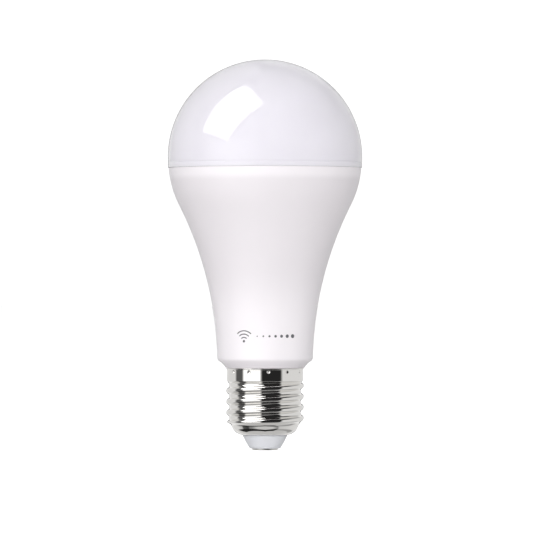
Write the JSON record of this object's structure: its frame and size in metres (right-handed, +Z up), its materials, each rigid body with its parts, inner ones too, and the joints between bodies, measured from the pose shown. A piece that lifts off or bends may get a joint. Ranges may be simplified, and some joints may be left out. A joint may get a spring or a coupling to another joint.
{
  "type": "smart light bulb",
  "caption": "Pear-shaped LED smart bulb: opal dome, flared white housing and chromed E27 screw cap, with its driver, LED board and radio board inside.",
  "frame": {"origin": "centre of the centre contact's flat outer face, the lowest point of the lamp", "axes": "+Z up the lamp's axis to the top of the dome; -Y to the front; +X to the right seen from the front"},
  "size_m": [0.065, 0.065, 0.1306],
  "materials": {
    "opal_dome": "satin",
    "white_housing": "satin",
    "silicone": "matte",
    "bare_aluminium": "satin",
    "thermal_pad": "matte",
    "white_coated_aluminium": "satin",
    "warm_phosphor": "satin",
    "cool_phosphor": "satin",
    "zinc_steel": "satin",
    "white_nylon": "satin",
    "gold_plate": "polished",
    "radio_board_laminate": "satin",
    "tin_plate": "satin",
    "antenna_copper": "satin",
    "ivory_liner": "satin",
    "driver_board_laminate": "satin",
    "capacitor_sleeve": "gloss",
    "red_lacquer": "gloss",
    "blue_lacquer": "gloss",
    "resistor_coat": "satin",
    "choke_wrap": "satin",
    "ferrite": "matte",
    "black_phenolic": "satin",
    "yellow_tape": "gloss",
    "chip_black": "matte",
    "resistor_black": "satin",
    "capacitor_tan": "satin",
    "solder": "polished",
    "brown_wire": "satin",
    "blue_wire": "satin",
    "chrome_shell": "polished",
    "grey_ink": "satin",
    "pale_insulator": "satin",
    "nickel_contact": "satin"
  },
  "bodies": {
    "root": {"diffuser_dome": "opal_dome", "dome_seal": "silicone", "outer_housing": "white_housing", "heat_sink_cup": "bare_aluminium", "heat_spreader": "bare_aluminium", "thermal_pad": "thermal_pad", "led_board": "white_coated_aluminium", "warm_white_leds": "warm_phosphor", "cool_white_leds": "cool_phosphor", "board_screws": "zinc_steel", "led_socket": "white_nylon", "led_header_pins": "gold_plate", "wifi_board": "radio_board_laminate", "wifi_shield_can": "tin_plate", "wifi_antenna": "antenna_copper", "wifi_header_pins": "gold_plate", "driver_sleeve": "ivory_liner", "driver_board": "driver_board_laminate", "input_capacitor": "capacitor_sleeve", "output_capacitor": "capacitor_sleeve", "film_capacitor": "red_lacquer", "varistor": "blue_lacquer", "fusible_resistor": "resistor_coat", "filter_choke": "choke_wrap", "transformer_core": "ferrite", "transformer_bobbin": "black_phenolic", "transformer_winding": "yellow_tape", "bridge_rectifier": "chip_black", "driver_ic": "chip_black", "output_diode": "chip_black", "regulator_ic": "chip_black", "chip_resistors": "resistor_black", "chip_capacitors": "capacitor_tan", "solder_joints": "solder", "live_wire": "brown_wire", "neutral_wire": "blue_wire", "screw_shell": "chrome_shell", "insulator": "pale_insulator", "centre_contact": "nickel_contact"}
  },
  "joints": []
}
